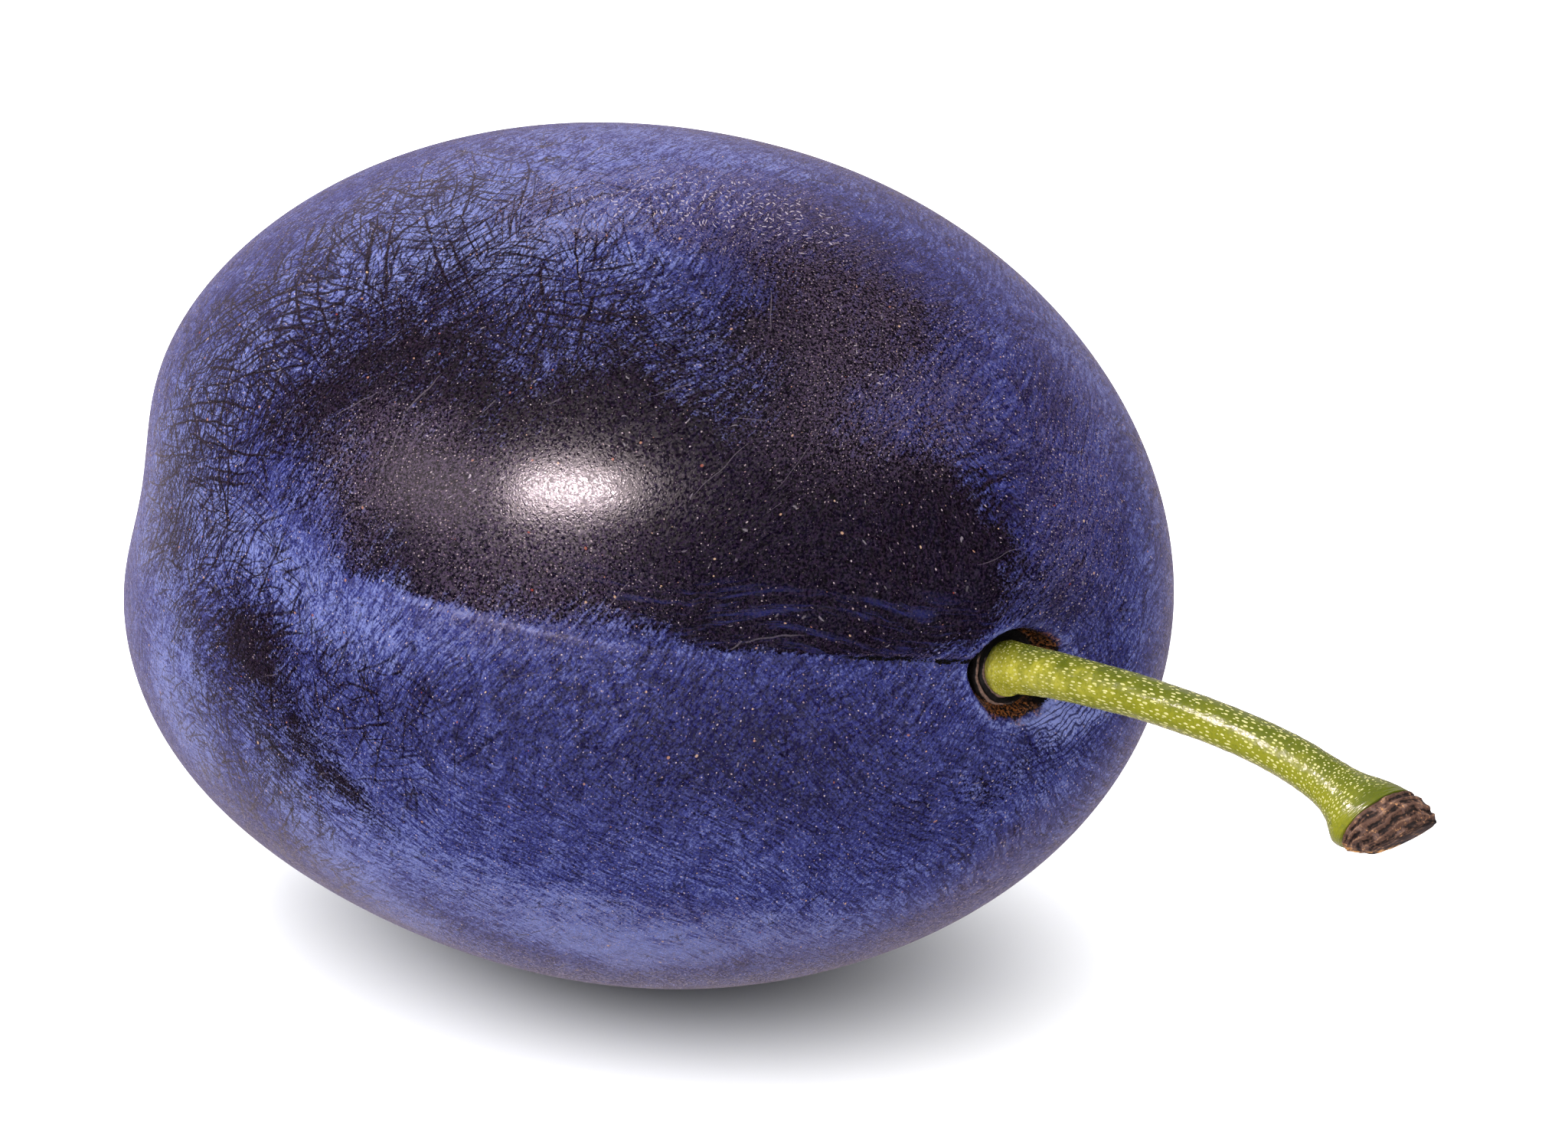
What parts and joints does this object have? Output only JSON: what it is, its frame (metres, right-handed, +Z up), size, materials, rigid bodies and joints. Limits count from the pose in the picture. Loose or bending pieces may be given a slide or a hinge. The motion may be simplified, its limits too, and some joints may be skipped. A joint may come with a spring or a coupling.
{
  "type": "plum",
  "caption": "Ripe blue plum with its short green stalk, lying on its cheek on a small flat spot.",
  "frame": {"origin": "centre of the small flat spot that the fruit rests on", "axes": "+X along the fruit towards its stalk, -Y towards the suture, +Z up"},
  "size_m": [0.0651, 0.0378, 0.0336],
  "materials": {
    "bloomed_skin": "dark purple-blue skin under a pale blue waxy bloom, rubbed to a soft shine in places",
    "cork": "dull dark brown cork with orange-brown flecks",
    "green_stalk": "satin yellow-green with raised cream lenticels",
    "bark": "rough dark brown bark, ridged across, torn orange-brown at the end"
  },
  "bodies": {
    "root": {"fruit": "bloomed_skin", "stalk_collar": "cork", "stalk": "green_stalk", "stalk_heel": "bark"}
  },
  "joints": []
}
